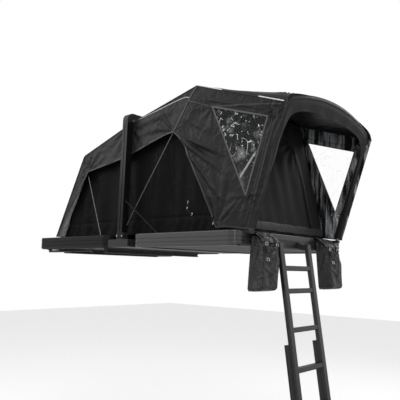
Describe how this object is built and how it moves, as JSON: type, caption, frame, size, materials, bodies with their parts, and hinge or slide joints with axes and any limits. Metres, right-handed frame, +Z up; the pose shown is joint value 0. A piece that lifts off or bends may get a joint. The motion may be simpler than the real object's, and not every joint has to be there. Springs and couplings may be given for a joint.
{
  "type": "rooftop tent",
  "caption": "Fold-out rooftop tent, pitched: hinged two-shell aluminium base, U frame, fly with side windows, canopy on a hoop, sliding ladder and hanging shoe bags.",
  "frame": {"origin": "middle of the bolting face of the inner mounting rail, under the base shell", "axes": "+X across the vehicle to the fold-out side, +Y along the vehicle, +Z up"},
  "size_m": [2.5314, 1.4, 2.8026],
  "materials": {
    "shell_frame": "satin black anodised extrusion",
    "shell_corner": "satin black corner extrusion",
    "floor_panel": "matt black composite panel",
    "spine": "satin black extrusion",
    "mount_rail": "satin black extrusion",
    "bracket": "black powder coat",
    "strut": "gloss black cylinder with a bright rod",
    "u_frame": "satin black anodised tube",
    "pole": "grey anodised tube",
    "spring_steel": "bare spring steel",
    "fly_fabric": "charcoal coated polyester with a satin sheen",
    "canopy_fabric": "black coated polyester",
    "body_fabric": "black polycotton canvas",
    "clear_film": "clear flexible window film",
    "ladder": "dark grey anodised ladder section",
    "bag_canvas": "waxed black canvas"
  },
  "bodies": {
    "tent": {"base_side_rails": "shell_frame", "base_end_rails": "shell_frame", "base_corners": "shell_corner", "base_floor": "floor_panel", "leaf_side_rails": "shell_frame", "leaf_end_rails": "shell_frame", "leaf_corners": "shell_corner", "leaf_floor": "floor_panel", "spine_beam": "spine", "spine_hinges": "bracket", "mount_rail_inner": "mount_rail", "mount_rail_outer": "mount_rail", "gas_struts": "strut", "u_frame_legs": "u_frame", "u_frame_top": "u_frame", "u_frame_feet": "bracket", "frame_stays": "spring_steel", "ridge_hoop_legs": "pole", "ridge_hoop_top": "pole", "tail_hoop_legs": "pole", "tail_hoop_top": "pole", "canopy_hoop_legs": "pole", "canopy_hoop_top": "pole", "canopy_hoop_feet": "bracket", "fly_tail": "fly_fabric", "fly_roof_low": "fly_fabric", "fly_roof_high": "fly_fabric", "fly_canopy_roof": "canopy_fabric", "canopy_band": "canopy_fabric", "fly_rear_valance": "fly_fabric", "fly_front_valance": "fly_fabric", "fly_rear_wing": "fly_fabric", "fly_front_wing": "fly_fabric", "side_windows": "clear_film", "body_rear_wall": "body_fabric", "body_front_wall": "body_fabric", "body_tail_wall": "body_fabric", "body_door_wall": "body_fabric", "awning_rods": "spring_steel", "ladder_bracket": "bracket", "shoe_bag_rear": "bag_canvas", "shoe_bag_front": "bag_canvas"},
    "ladder_upper": {"ladder_upper_rails": "ladder", "ladder_upper_rungs": "ladder"},
    "ladder_lower": {"ladder_lower_rails": "ladder", "ladder_lower_rungs": "ladder"}
  },
  "joints": [
    {"name": "ladder_hinge", "type": "hinge", "parent": "tent", "child": "ladder_upper", "pos_m": [1.5205, -0.152, 0.042], "axis": [0, -1, 0], "range_deg": [0, 80]},
    {"name": "ladder_slide", "type": "slide", "parent": "ladder_upper", "child": "ladder_lower", "axis": [-0.1392, 0, 0.9903], "range_m": [0, 0.5]}
  ]
}
